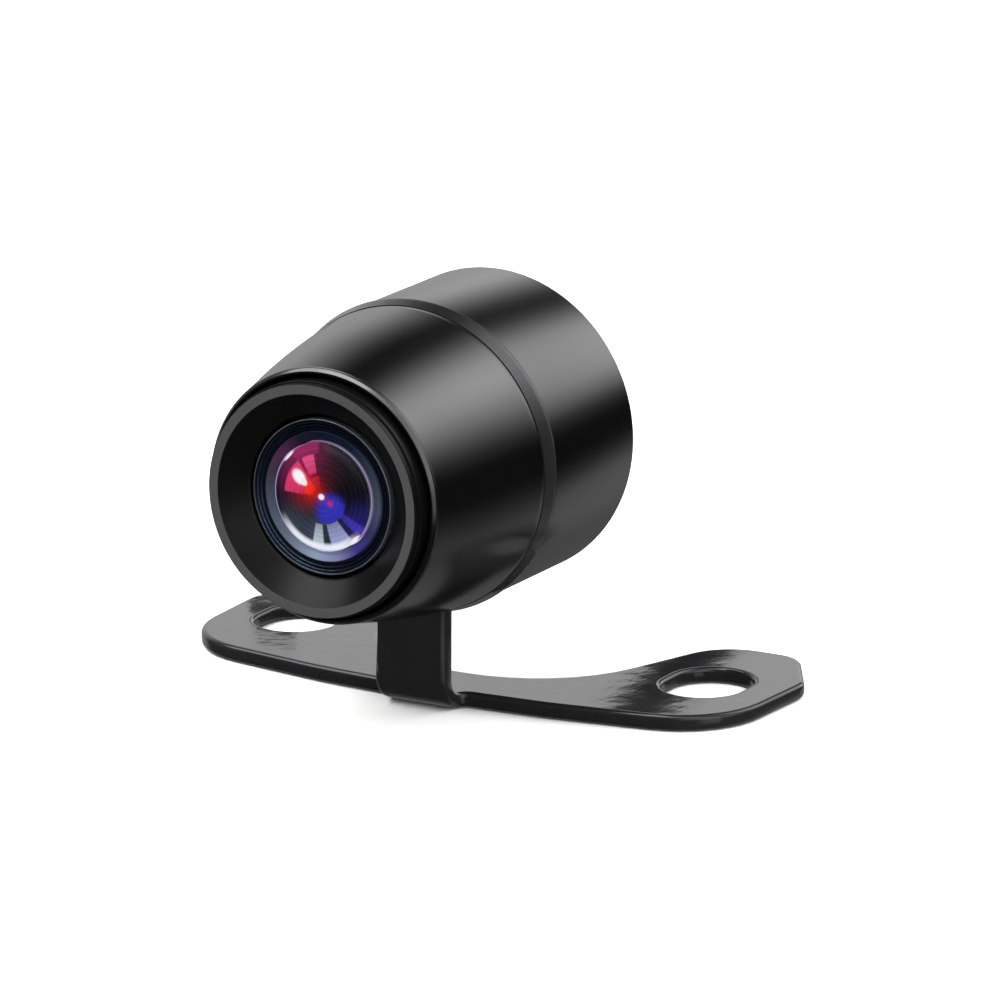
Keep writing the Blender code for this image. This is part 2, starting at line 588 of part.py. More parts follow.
def make_board_rings(plastic):
    """The ring that spaces the boards apart and the ring that clamps them on the ledge."""
    inner = BOARD_RADIUS - BOARD_RING_WALL
    spacer = ring_outline(inner, BOARD_RADIUS, SENSOR_BOARD_REAR_Y + GAP, POWER_BOARD_FRONT_Y - GAP)
    add_barrel_piece("board_spacer", turned(spacer, SEGMENTS_INNER), plastic)
    clamp_rear = SENSOR_BOARD_FRONT_Y - GAP
    clamp = ring_outline(inner, BOARD_RADIUS, clamp_rear - CLAMP_RING_LENGTH, clamp_rear)
    add_barrel_piece("board_clamp_ring", turned(clamp, SEGMENTS_INNER), plastic)


def make_power_board(resin):
    disc = rod(BOARD_RADIUS, POWER_BOARD_FRONT_Y, POWER_BOARD_REAR_Y, segments=SEGMENTS_INNER)
    add_barrel_piece("power_board", disc, resin)


def seat_at_edge(bearing, width, length, limit):
    """Where a rectangle's centre goes, in a direction, for its far corner to reach the limit."""
    across, up = cos(radians(bearing)), sin(radians(bearing))
    half_diagonal_squared = (width ** 2 + length ** 2) / 4
    lean = (abs(across) * width + abs(up) * length) / 2
    reach = (lean ** 2 + limit ** 2 - half_diagonal_squared) ** 0.5 - lean
    return across * reach, up * reach


def make_components(ceramic, metal, plastic, glass):
    """The image sensor and the parts soldered on the boards' rear faces."""
    sensor_rear = SENSOR_BOARD_FRONT_Y - GAP
    sensor_front = sensor_rear - SENSOR_HEIGHT
    glass_rear = sensor_front - GAP
    add_barrel_piece("image_sensor", block((SENSOR_SIDE, SENSOR_HEIGHT, SENSOR_SIDE),
                     (0, (sensor_front + sensor_rear) / 2, 0)), ceramic)
    add_barrel_piece("sensor_glass", block((SENSOR_GLASS_SIDE, SENSOR_GLASS_HEIGHT,
                     SENSOR_GLASS_SIDE), (0, glass_rear - SENSOR_GLASS_HEIGHT / 2, 0)), glass)
    finishes = {"ceramic": ceramic, "metal": metal, "plastic": plastic}
    boards = (
        (SENSOR_BOARD_REAR_Y + GAP, BOARD_RADIUS - BOARD_RING_WALL - GAP, SENSOR_BOARD_PARTS),
        (POWER_BOARD_REAR_Y + GAP, HOUSING_LEDGE_RADIUS - GAP, POWER_BOARD_PARTS),
    )
    for face, limit, parts in boards:
        for name, bearing, width, length, height, finish in parts:
            x, z = (0.0, 0.0) if bearing is None else seat_at_edge(bearing, width, length, limit)
            centre = (x, face + height / 2, z)
            add_barrel_piece(name, block((width, height, length), centre), finishes[finish])


def build():
    clear_scene()
    paint = finish_material("black_painted_steel", (0.022, 0.022, 0.023), 0.22)
    shell_paint = finish_material("black_satin_paint", (0.02, 0.02, 0.021), 0.3)
    bezel_plastic = finish_material("black_moulded_plastic", (0.045, 0.045, 0.045), 0.5)
    rubber = finish_material("black_rubber", (0.03, 0.03, 0.03), 0.7)
    lens_metal = finish_material("black_anodised_aluminium", (0.04, 0.05, 0.09), 0.35, 0.6)
    coated_glass = finish_material("coated_glass", (0.15, 0.17, 0.4), 0.03)
    filter_glass = finish_material("filter_glass", (0.25, 0.5, 0.6), 0.05)
    inner_plastic = finish_material("black_inner_plastic", (0.05, 0.05, 0.05), 0.6)
    steel = finish_material("zinc_plated_steel", (0.6, 0.6, 0.6), 0.35, 1.0)
    resin = finish_material("green_board", (0.02, 0.18, 0.06), 0.45)
    ceramic = finish_material("chip_epoxy", (0.03, 0.03, 0.03), 0.5)
    connector_plastic = finish_material("cream_connector_plastic", (0.75, 0.7, 0.58), 0.5)
    make_bracket(paint)
    make_rear_housing(shell_paint)
    make_cable_grommet(rubber)
    make_front_shell(shell_paint)
    make_bezel(bezel_plastic)
    make_seals(rubber)
    make_lens_barrel(lens_metal)
    make_front_glass(coated_glass, lens_metal)
    make_element_stack(coated_glass, inner_plastic, filter_glass)
    holder = make_lens_mount(inner_plastic, steel)
    make_sensor_board(resin, holder, steel)
    make_board_rings(inner_plastic)
    make_power_board(resin)
    make_components(ceramic, steel, connector_plastic, coated_glass)


build()
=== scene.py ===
"""Looks for the backup camera: satin shells, gloss-painted bracket, coated lens and its insides.

Lengths are in millimetres until a mesh is finished, and each piece is turned or cut at its place.
The barrel's axis runs along Y and the lens looks along -Y.
"""
import json
from math import atan2, cos, degrees, exp, pi, radians, sin, tan

import bmesh
import bpy
from mathutils import Euler, Matrix, Vector


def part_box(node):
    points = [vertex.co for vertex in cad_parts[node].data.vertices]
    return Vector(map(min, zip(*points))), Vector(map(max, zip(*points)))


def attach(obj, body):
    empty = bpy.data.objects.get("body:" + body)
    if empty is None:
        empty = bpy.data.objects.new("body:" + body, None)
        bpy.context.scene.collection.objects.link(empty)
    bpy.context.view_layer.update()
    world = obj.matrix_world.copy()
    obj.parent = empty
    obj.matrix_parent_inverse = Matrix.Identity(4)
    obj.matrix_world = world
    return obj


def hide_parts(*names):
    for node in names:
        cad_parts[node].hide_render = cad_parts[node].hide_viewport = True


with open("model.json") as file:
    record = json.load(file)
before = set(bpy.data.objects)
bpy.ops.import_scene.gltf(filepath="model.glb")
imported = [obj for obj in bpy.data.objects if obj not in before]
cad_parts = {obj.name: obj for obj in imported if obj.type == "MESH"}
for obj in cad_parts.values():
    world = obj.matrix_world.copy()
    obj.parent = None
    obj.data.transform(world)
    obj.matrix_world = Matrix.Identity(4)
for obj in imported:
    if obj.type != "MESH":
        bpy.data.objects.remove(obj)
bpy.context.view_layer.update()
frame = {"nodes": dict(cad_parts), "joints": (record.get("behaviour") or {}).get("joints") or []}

MM = 0.001
SHARP = radians(35)
TURN_STEPS = 224               # facets round a shell
FINE_STEPS = 160               # facets round a lens part


# ---------------------------------------------------------------- places, read from the frame

def node_box(name):
    """A node's low and high corners, in millimetres."""
    low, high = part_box(name)
    return low / MM, high / MM


def span(name):
    """A turned node's front station, rear station and outer radius."""
    low, high = node_box(name)
    return low.y, high.y, (high.x - low.x) / 2


roll_joint = next(j for j in frame["joints"] if j["name"] == "barrel_roll")
axis_height = roll_joint["pos_m"][2] / MM
shell_front, shell_rear, shell_rear_radius = span("front_shell")
bezel_front, bezel_rear, bezel_flange_radius = span("bezel_ring")
neck_front, housing_rear, housing_radius = span("rear_housing")
grommet_front, grommet_rear, grommet_radius = span("cable_grommet")
lens_front, lens_rear, lens_radius = span("lens_barrel")
glass_front, glass_rear, _ = span("front_glass")
_, retainer_rear, retainer_radius = span("glass_retainer")
bracket_low, bracket_high = node_box("bracket")
GAP = 0.3                      # the frame's clearance between neighbours


# ---------------------------------------------------------------- mesh helpers

def rounded(corners, closed=True):
    """Points of an outline whose corners (x, y, radius) are turned into arcs."""
    count = len(corners)
    points = [] if closed else [corners[0][:2]]
    for index in range(count) if closed else range(1, count - 1):
        here = Vector(corners[index][:2])
        radius = corners[index][2]
        if radius == 0:
            points.append(tuple(here))
            continue
        into = (here - Vector(corners[index - 1][:2])).normalized()
        out = (Vector(corners[(index + 1) % count][:2]) - here).normalized()
        turn = atan2(into.x * out.y - into.y * out.x, into.dot(out))
        start = here - into * radius * tan(abs(turn) / 2)
        side = 1 if turn > 0 else -1
        centre = start + Vector((-into.y, into.x)) * radius * side
        steps = max(2, round(abs(turn) / radians(9)))
        for step in range(steps + 1):
            arm = Matrix.Rotation(turn * step / steps, 2) @ (start - centre)
            points.append(tuple(centre + arm))
    return points if closed else points + [corners[-1][:2]]


def turned(outline, steps=TURN_STEPS):
    """Spin a closed outline of (radius, station) about the barrel's axis."""
    builder = bmesh.new()
    verts = [builder.verts.new((radius, station, 0.0)) for radius, station in outline]
    edges = [builder.edges.new(pair) for pair in zip(verts, verts[1:] + verts[:1])
             if pair[0].co.x > 0 or pair[1].co.x > 0]
    bmesh.ops.spin(builder, geom=verts + edges, cent=(0, 0, 0), axis=(0, 1, 0),
                   angle=2 * pi, steps=steps, use_merge=True)
    bmesh.ops.remove_doubles(builder, verts=builder.verts, dist=1e-4)
    bmesh.ops.translate(builder, verts=builder.verts, vec=(0, 0, axis_height))
    return builder


def piece(name, builder, material, body, node=None, sharp=SHARP):
    """Finish a mesh in metres, shade it, and hang it on its body in place of its CAD node."""
    bmesh.ops.scale(builder, vec=(MM, MM, MM), verts=builder.verts)
    bmesh.ops.recalc_face_normals(builder, faces=builder.faces)
    mesh = bpy.data.meshes.new(name)
    builder.to_mesh(mesh)
    builder.free()
    mesh.shade_smooth()
    mesh.set_sharp_from_angle(angle=sharp)
    mesh.materials.append(material)
    made = bpy.data.objects.new(name, mesh)
    bpy.context.scene.collection.objects.link(made)
    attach(made, body)
    if node:
        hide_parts(node)
    return made


# ---------------------------------------------------------------- material helpers

# Places of a colour Mix node's sockets, whose names are shared with its other data types.
MIX_AMOUNT = 0
MIX_FIRST = 6
MIX_SECOND = 7
MIX_RESULT = 2

WAVE_PERIOD = 2 * pi / 20      # a wave texture's own spacing at a scale of 1
TOOL_RING_SPACING = 0.2827     # on the anodised lens


def linear(code):
    """An sRGB hex colour as linear RGBA."""
    channels = [int(code[i:i + 2], 16) / 255 for i in (1, 3, 5)]
    return (*[c / 12.92 if c <= 0.04045 else ((c + 0.055) / 1.055) ** 2.4 for c in channels], 1.0)


def add(tree, kind, settings=None, links=None):
    """Add a node; settings are attributes or input values, links name inputs to feed."""
    node = tree.nodes.new(kind)
    for key, value in (settings or {}).items():
        if isinstance(key, str) and hasattr(node, key):
            setattr(node, key, value)
        else:
            node.inputs[key].default_value = value
    for key, source in (links or {}).items():
        tree.links.new(source, node.inputs[key])
    return node


def soft_mask(tree, *edges):
    """A mask with soft edges: each (value, low, high, start, end) eases from start to end."""
    mask = None
    for value, low, high, start, end in edges:
        edge = add(tree, "ShaderNodeMapRange", {"From Min": low, "From Max": high,
                                                "To Min": start, "To Max": end,
                                                "interpolation_type": "SMOOTHSTEP"},
                   {"Value": value}).outputs["Result"]
        mask = edge if mask is None else add(tree, "ShaderNodeMath", {"operation": "MULTIPLY"},
                                             {0: mask, 1: edge}).outputs[0]
    return mask


def new_material(name, **values):
    """A Principled material; values go straight onto the shader's own sockets."""
    material = bpy.data.materials.new(name)
    material.use_nodes = True
    shader = material.node_tree.nodes["Principled BSDF"]
    for key, value in values.items():
        shader.inputs[key.replace("_", " ")].default_value = value
    material.diffuse_color = shader.inputs["Base Color"].default_value
    return material, material.node_tree, shader


def speckle(tree, shader, size_mm, depth_mm, colours=None, roughness=None):
    """A noise of a real size that bumps a surface and shifts its colour and roughness."""
    place = add(tree, "ShaderNodeTexCoord").outputs["Object"]
    noise = add(tree, "ShaderNodeTexNoise", {"Scale": 1 / (size_mm * MM), "Detail": 3.0},
                {"Vector": place}).outputs["Fac"]
    if depth_mm:
        bump = add(tree, "ShaderNodeBump", {"Strength": 1.0, "Distance": depth_mm * MM},
                   {"Height": noise})
        tree.links.new(bump.outputs["Normal"], shader.inputs["Normal"])
    if colours:
        tint = add(tree, "ShaderNodeMix", {"data_type": "RGBA", MIX_FIRST: linear(colours[0]),
                                           MIX_SECOND: linear(colours[1])}, {MIX_AMOUNT: noise})
        tree.links.new(tint.outputs[MIX_RESULT], shader.inputs["Base Color"])
    if roughness:
        sheen = add(tree, "ShaderNodeMapRange", {"To Min": roughness[0], "To Max": roughness[1]},
                    {"Value": noise})
        tree.links.new(sheen.outputs["Result"], shader.inputs["Roughness"])
    return noise


def distance_from_axis(tree, place):
    """How far a point is from the barrel's axis."""
    flat = add(tree, "ShaderNodeVectorMath", {"operation": "MULTIPLY", 1: (1, 0, 1)}, {0: place})
    return add(tree, "ShaderNodeVectorMath", {"operation": "DISTANCE",
                                              1: (0, 0, axis_height * MM)},
               {0: flat.outputs["Vector"]}).outputs["Value"]


def gloss_paint():
    """Thick black dip paint on stamped steel: glossy, with slow orange peel."""
    material, tree, shader = new_material("gloss_black_dip_paint", Specular_IOR_Level=0.5,
                                          Specular_Tint=(0.46, 0.46, 0.47, 1.0))
    speckle(tree, shader, 1.8, 0.016, ("#171718", "#1d1d1e"), (0.06, 0.1))
    return material


def satin_shell_paint():
    """Sprayed satin black on turned aluminium: soft wide highlights, a hint of fine grain.

    The grain is drawn coarser than a sprayed coat's, which would not show.
    """
    material, tree, shader = new_material("satin_black_shell_paint", Specular_IOR_Level=0.5)
    speckle(tree, shader, 0.35, 0.0006, ("#040404", "#060606"), (0.16, 0.2))
    return material


def moulded_bezel():
    """Moulded black ABS: a grained grey rim, with a smooth recess and edge beside it painted
    near-black as shade.
    """
    material, tree, shader = new_material("moulded_black_abs", Specular_IOR_Level=0.08)
    noise = speckle(tree, shader, 0.16, 0.003)
    place = add(tree, "ShaderNodeTexCoord").outputs["Object"]
    arm = distance_from_axis(tree, place)
    rim = soft_mask(tree, (arm, (RECESS_RADIUS - 0.04) * MM, (RECESS_RADIUS + 0.01) * MM, 0, 1),
                    (arm, (RIM_RADIUS - 0.06) * MM, (RIM_RADIUS - 0.02) * MM, 1, 0))
    grained = add(tree, "ShaderNodeMix", {"data_type": "RGBA", MIX_FIRST: linear("#343434"),
                                          MIX_SECOND: linear("#3c3c3c")}, {MIX_AMOUNT: noise})
    # painted shade: the recess inside the rim and the edge outside it are near-black, the rim
    # grained grey
    colour = add(tree, "ShaderNodeMix", {"data_type": "RGBA", MIX_FIRST: linear("#070707")},
                 {MIX_AMOUNT: rim, MIX_SECOND: grained.outputs[MIX_RESULT]})
    tree.links.new(colour.outputs[MIX_RESULT], shader.inputs["Base Color"])
    tree.links.new(soft_mask(tree, (rim, 0, 1, 0.32, 0.5)), shader.inputs["Roughness"])
    return material


def rubber():
    """Moulded black rubber: dull, slightly dusty."""
    material, tree, shader = new_material("moulded_black_rubber", Specular_IOR_Level=0.3)
    speckle(tree, shader, 0.5, 0.006, ("#141414", "#1d1d1c"), (0.62, 0.8))
    return material


def turned_anodised(name, dark, light, roughness):
    """Turned and anodised aluminium: fine brighter tool rings, and an outer edge painted light
    grey, as worn metal and as a painted highlight.

    The rings are drawn about 0.3 mm apart, coarser than tool marks, which would not show.
    """
    material, tree, shader = new_material(name, Metallic=0.75)
    place = add(tree, "ShaderNodeTexCoord").outputs["Object"]
    centred = add(tree, "ShaderNodeMapping", {"Location": (0, 0, -axis_height * MM)},
                  {"Vector": place})
    rings = add(tree, "ShaderNodeTexWave", {"wave_type": "RINGS", "rings_direction": "Y",
                                            "Scale": WAVE_PERIOD / (TOOL_RING_SPACING * MM),
                                            "Distortion": 0.6,
                                            "Detail": 2.0}, {"Vector": centred.outputs["Vector"]})
    arm = distance_from_axis(tree, place)
    dyed = add(tree, "ShaderNodeMix", {"data_type": "RGBA", MIX_FIRST: linear(dark),
                                       MIX_SECOND: linear(light)},
               {MIX_AMOUNT: rings.outputs["Fac"]})
    # a painted highlight along the outer edge, which also stands for metal worn bare
    rim_highlight_and_wear_mask = soft_mask(tree, (arm, (lens_radius - 0.1) * MM, (lens_radius - 0.05) * MM, 0, 1))
    highlight_and_wear = add(tree, "ShaderNodeMix", {"data_type": "RGBA", MIX_SECOND: linear("#7c808a")},
               {MIX_AMOUNT: rim_highlight_and_wear_mask, MIX_FIRST: dyed.outputs[MIX_RESULT]})
    tree.links.new(highlight_and_wear.outputs[MIX_RESULT], shader.inputs["Base Color"])
    bump = add(tree, "ShaderNodeBump", {"Strength": 1.0, "Distance": 0.001 * MM},
               {"Height": rings.outputs["Fac"]})
    tree.links.new(bump.outputs["Normal"], shader.inputs["Normal"])
    shader.inputs["Roughness"].default_value = roughness
    return material


def plated_steel():
    """Bright zinc-plated steel: cool grey with faint cloudiness."""
    material, tree, shader = new_material("zinc_plated_steel", Metallic=1.0)
    speckle(tree, shader, 0.6, 0.002, ("#a9adb2", "#c3c6c9"), (0.25, 0.4))
    return material


def board_resin():
    """Green solder mask over copper tracks on glass-epoxy."""
    material, tree, shader = new_material("green_solder_mask", Specular_IOR_Level=0.5,
                                          Coat_Weight=0.4)
    place = add(tree, "ShaderNodeTexCoord").outputs["Object"]
    tracks = add(tree, "ShaderNodeTexBrick", {"Scale": 1 / (3.2 * MM), "Mortar Size": 0.06,
                                              "Color1": linear("#0d4a24"),
                                              "Color2": linear("#0b4220"),
                                              "Mortar": linear("#1e7a3c")}, {"Vector": place})
    tree.links.new(tracks.outputs["Color"], shader.inputs["Base Color"])
    shader.inputs["Roughness"].default_value = 0.35
    return material


def plain_grained(name, colours, roughness, size_mm=0.3, metallic=0.0):
    """A moulded or cast surface with a light grain in its colour and sheen."""
    material, tree, shader = new_material(name, Metallic=metallic)
    speckle(tree, shader, size_mm, 0.003, colours, roughness)
    return material


def clear_glass():
    """Polished optical glass: clear, with sharp reflections and a trace of a blue bloom."""
    material, tree, shader = new_material("polished_optical_glass", Transmission_Weight=1.0,
                                          IOR=1.33, Roughness=0.0)
    speckle(tree, shader, 2.0, 0.0, ("#fafaff", "#ffffff"))
    return material


def painted_reflection_glow():
    """Painted reflections and highlights of the elements below the glass, in the colours of their
    multi-layer coatings, given out as glow.
    """
    material, tree, shader = new_material("painted_lens_reflections", Roughness=0.9,
                                          Specular_IOR_Level=0.0)
    shader.inputs["Base Color"].default_value = linear("#020203")
    colour = add(tree, "ShaderNodeAttribute", {"attribute_name": "coating"}).outputs["Color"]
    tree.links.new(colour, shader.inputs["Emission Color"])
    # the painted reflections and highlights glow, though the lens is no lamp
    shader.inputs["Emission Strength"].default_value = 0.95
    return material


def retainer_metal_with_painted_light():
    """Slate-anodised retainer with painted reflections and shade by bearing, glowing faintly:
    magenta above left, violet below right.
    """
    material, tree, shader = new_material("slate_anodised_with_painted_reflections", Metallic=0.8)
    colour = add(tree, "ShaderNodeAttribute", {"attribute_name": "coating"}).outputs["Color"]
    tree.links.new(colour, shader.inputs["Base Color"])
    tree.links.new(colour, shader.inputs["Emission Color"])
    # the painted reflections and shade glow faintly
    shader.inputs["Emission Strength"].default_value = 0.4
    shader.inputs["Roughness"].default_value = 0.42
    return material


# ---------------------------------------------------------------- bracket

SHEET_THICKNESS = 1.2
PLATE_SOFTENING = (0.36, 0.36)  # reach and rise of a paint-softened corner
RING_LEAN = 0.3                # the ring's rim leans down towards the front shell
RING_SOFTENING = (0.12, 0.12)
RIM_INSET = 0.06               # how far inside its softened corner a face starts
RING_FROM_Y = -8.0             # on the flat blank, everything beyond this is the ring
EDGE_STEPS = 5
BEND_OUTER_RADIUS = 2.5
BEND_STEPS = 20
TONGUE_WIDTH = 6.2
TONGUE_ROOT_RADIUS = 0.9
WAIST_FRONT = -2.4
WAIST_BACK = 2.35
RING_BORE = 10.5
RING_STEPS = 150
BORE_STEPS = 144
HOLE_X = 17.9
HOLE_Y = 8.9
HOLE_WIDTH = 6.3
HOLE_LENGTH = 7.8
HOLE_END_STEPS = 24


def plate_half():
    """Right half of the butterfly's edge, from the tongue's foot round to the waist's back."""
    half_span = bracket_high.x
    back = bracket_high.y
    tongue_foot = (TONGUE_WIDTH / 2, WAIST_FRONT - 2.0, 0)
    tongue_root = (TONGUE_WIDTH / 2, WAIST_FRONT, TONGUE_ROOT_RADIUS)
    front_sweep = (10.0, -1.95, 30.0)
    front_corner = (half_span - 0.6, 0.2, 7.0)
    end_corner = (half_span, 12.3, 2.5)
    back_corner = (20.8, back, 2.8)
    inner_corner = (14.0, back, 4.6)
    waist_sweep = (8.5, WAIST_BACK, 10.5)
    waist_middle = (0.0, WAIST_BACK, 0)
    return rounded([tongue_foot, tongue_root, front_sweep, front_corner, end_corner, back_corner,
                    inner_corner, waist_sweep, waist_middle], closed=False)


def ring_points(x, y, radius, start, end, steps):
    """Points along an arc, both ends included."""
    return [(x + radius * cos(start + (end - start) * i / steps),
             y + radius * sin(start + (end - start) * i / steps)) for i in range(steps + 1)]


def slot_hole(x, y, width, length):
    """A short slot, walked clockwise so that the metal lies on its left."""
    shift = (length - width) / 2
    return (ring_points(x, y + shift, width / 2, pi, 0, HOLE_END_STEPS)
            + ring_points(x, y - shift, width / 2, 0, -pi, HOLE_END_STEPS))


def set_in(points, distances):
    """Move an outline towards the metal, which lies on the left of its path."""
    moved = []
    for index, here in enumerate(points):
        here = Vector(here)
        into = (here - Vector(points[index - 1])).normalized()
        out = (Vector(points[(index + 1) % len(points)]) - here).normalized()
        left = Vector((-into.y - out.y, into.x + out.x)).normalized()
        moved.append(here + left * distances[index]
                     / max(left.dot(Vector((-into.y, into.x))), 0.5))
    return moved


def edge_profile(thickness, low, high):
    """Insets and heights across the sheet's edge; a corner is its softening's reach and rise."""
    profile = [(low[0] + RIM_INSET, 0.0)]
    for side, (reach, rise) in ((-1, low), (1, high)):
        base = thickness / 2 + side * (thickness / 2 - rise)
        turns = [radians(90 * step / EDGE_STEPS) for step in range(EDGE_STEPS + 1)][::side]
        profile += [(reach * (1 - cos(turn)), base + side * rise * sin(turn)) for turn in turns]
    return profile + [(high[0] + RIM_INSET, thickness)]


def rounded_edge(builder, points, thickness):
    """Skin one edge of the sheet, paint-softened top and bottom; returns its two rims' edges.

    The ring's rim leans up to its one softened corner, in as many rows as the plate's lower one.
    """
    plate = edge_profile(thickness, PLATE_SOFTENING, PLATE_SOFTENING)
    lower = EDGE_STEPS + 2
    ring = [(RING_LEAN * (1 - step / lower) + 0.005, (thickness - 0.2) * step / lower)
            for step in range(lower)]
    ring += edge_profile(thickness, RING_SOFTENING, RING_SOFTENING)[lower:]
    rows = []
    for (inset, height), (ring_inset, ring_height) in zip(plate, ring):
        insets = [ring_inset if y < RING_FROM_Y else inset for x, y in points]
        heights = [ring_height if y < RING_FROM_Y else height for x, y in points]
        rows.append([builder.verts.new((*place, rise)) for place, rise
                     in zip(set_in(points, insets), heights)])
    for low, high in zip(rows, rows[1:]):
        for index in range(len(points)):
            builder.faces.new((low[index - 1], low[index], high[index], high[index - 1]))
    return [[builder.edges.get((row[index - 1], row[index])) for index in range(len(row))]
            for row in (rows[0], rows[-1])]


def fold_up(co, bend_start, thickness):
    """Carry a point of the flat blank round the bend and up the tongue."""
    inner = BEND_OUTER_RADIUS - thickness
    neutral = inner + thickness / 2
    run = bend_start - co.y
    if run <= 0:
        return co
    arm = BEND_OUTER_RADIUS - co.z
    angle = min(run / neutral, pi / 2)
    rise = max(run - neutral * pi / 2, 0.0)
    height = BEND_OUTER_RADIUS - arm * cos(angle) + rise
    return Vector((co.x, bend_start - arm * sin(angle), height))


def build_bracket(paint):
    """Skin the blank's rounded edges, fill both faces, then fold the tongue up."""
    thickness = SHEET_THICKNESS
    bend_start = bracket_low.y + BEND_OUTER_RADIUS
    bend_length = (BEND_OUTER_RADIUS - thickness / 2) * pi / 2
    ring_radius = bracket_high.z - axis_height
    ring_y = bend_start - bend_length - (axis_height - BEND_OUTER_RADIUS)
    root = (TONGUE_WIDTH / 2) / ring_radius
    right = plate_half()
    left = [(-x, y) for x, y in reversed(right[:-1])]
    ring = ring_points(0, ring_y, ring_radius, pi / 2 + root, 5 * pi / 2 - root, RING_STEPS)
    outlines = [right + left + ring,
                ring_points(0, ring_y, RING_BORE, 2 * pi, 0, BORE_STEPS)[:-1]]
    outlines += [slot_hole(side * HOLE_X, HOLE_Y, HOLE_WIDTH, HOLE_LENGTH) for side in (-1, 1)]
    builder = bmesh.new()
    rims = [rounded_edge(builder, outline, thickness) for outline in outlines]
    for face in (0, 1):
        edges = [edge for rim in rims for edge in rim[face]]
        bmesh.ops.triangle_fill(builder, use_beauty=True, use_dissolve=False, edges=edges)
    for step in range(BEND_STEPS + 1):
        line = bend_start - bend_length * step / BEND_STEPS
        every = builder.verts[:] + builder.edges[:] + builder.faces[:]
        bmesh.ops.bisect_plane(builder, geom=every, plane_co=(0, line, 0), plane_no=(0, 1, 0),
                               dist=1e-4)
    for vert in builder.verts:
        vert.co = fold_up(vert.co, bend_start, thickness)
    made = piece("painted_bracket", builder, paint, "bracket", "bracket")


# ---------------------------------------------------------------- shells

THREAD_PITCH = 1.0
THREAD_DEPTH = 0.28            # of the ridges on the neck
BORE_THREAD_DEPTH = 0.2        # of the dips in the shell's bore
CREST_START = 0.42             # where a ridge's flat crest starts and ends, as parts of a pitch
CREST_END = 0.58
TIGHT_GAP = 0.06               # what is left ahead of the ring once the cap is screwed home
REAR_GAP = 0.16                # what is left behind it
MOUTH_RADIUS = 9.2
LIP_OUTER = 9.65
LIP_BEAD = 0.24                # radius of the rolled bead round the shell's mouth
GROOVE_DEPTH = 0.06            # of the fine groove between the bead and the taper
TAPER_SET_BACK = 0.5           # from the mouth to the start of the taper
TAPER_STEPS = 32
TAPER_CROWN = 0.2              # how far the taper swells at its middle
SHELL_REAR_EDGE = 0.08
SHELL_CHAMFER = 0.3
BEZEL_SEAT_RADIUS = 9.9
BEZEL_FLANGE = 0.8             # thickness of the flange that the shell traps
NECK_RADIUS = 10.2
HOUSING_FRONT_EDGE = 0.16
HOUSING_REAR_EDGE = 0.4
BOARD_BORE = 9.0
LEDGE_RADIUS = 8.2
REAR_WALL = 1.5
CABLE_HOLE_RADIUS = 3.3
GROMMET_SEAT_RADIUS = 4.8
GROMMET_SEAT_DEPTH = 0.15
GROMMET_WAIST = 3.0
GROMMET_BORE = 1.6
GROMMET_NECK_RADIUS = 3.4
GROMMET_TIP_RADIUS = 3.1
BEZEL_BODY_RADIUS = 8.9
RIM_RADIUS = 8.76              # outer edge of the bezel's flat front rim
RECESS_RADIUS = 8.02           # where the rim drops into the conical recess
RECESS_DEPTH = 1.5
SLEEVE_BORE = 6.15
SLEEVE_RADIUS = 6.85
SKIRT_BORE = 8.2
BEZEL_FACE = 2.8               # thickness of the bezel behind its front rim


def thread_outline(radius, start, end, depth):
    """V-shaped thread ridges along a cylinder; negative depth cuts towards a larger radius."""
    points = []
    station = start
    while station + THREAD_PITCH <= end:
        points += [(radius - depth, station), (radius, station + THREAD_PITCH * CREST_START),
                   (radius, station + THREAD_PITCH * CREST_END)]
        station += THREAD_PITCH
    return points + [(radius - depth, station)]


def build_front_shell(paint):
    """Rolled bead, fine groove, slightly crowned taper, softened rear edge, threaded bore."""
    shell_end = bracket_low.y - TIGHT_GAP
    taper_start = shell_front + TAPER_SET_BACK
    taper_length = shell_end - SHELL_REAR_EDGE - taper_start
    outline = rounded([
        (MOUTH_RADIUS, shell_front + 1.2, 0), (MOUTH_RADIUS, shell_front, LIP_BEAD / 3),
        (MOUTH_RADIUS + 0.2, shell_front, LIP_BEAD / 3),
        (LIP_OUTER, shell_front + 0.26, LIP_BEAD),
        (LIP_OUTER, taper_start - 0.08, GROOVE_DEPTH / 2),
        (LIP_OUTER - GROOVE_DEPTH, taper_start - 0.04, GROOVE_DEPTH / 3)], closed=False)
    for step in range(TAPER_STEPS + 1):
        part = step / TAPER_STEPS
        radius = LIP_OUTER + (shell_rear_radius - LIP_OUTER) * part
        outline.append((radius + TAPER_CROWN * sin(pi * part), taper_start + taper_length * part))
    outline += ring_points(shell_rear_radius - SHELL_REAR_EDGE, shell_end - SHELL_REAR_EDGE,
                           SHELL_REAR_EDGE, 0, pi / 2, 6)[1:]
    outline += [(RING_BORE + SHELL_CHAMFER, shell_end)]
    outline += thread_outline(RING_BORE, neck_front + 0.2, shell_rear - SHELL_CHAMFER,
                              -BORE_THREAD_DEPTH)[::-1]
    seat_front = bezel_rear - BEZEL_FLANGE - GAP
    outline += [(RING_BORE, neck_front - GAP), (BEZEL_SEAT_RADIUS, neck_front - GAP),
                (BEZEL_SEAT_RADIUS, seat_front), (MOUTH_RADIUS, seat_front)]
    made = piece("tapered_front_shell", turned(outline), paint, "front_cap", "front_shell")


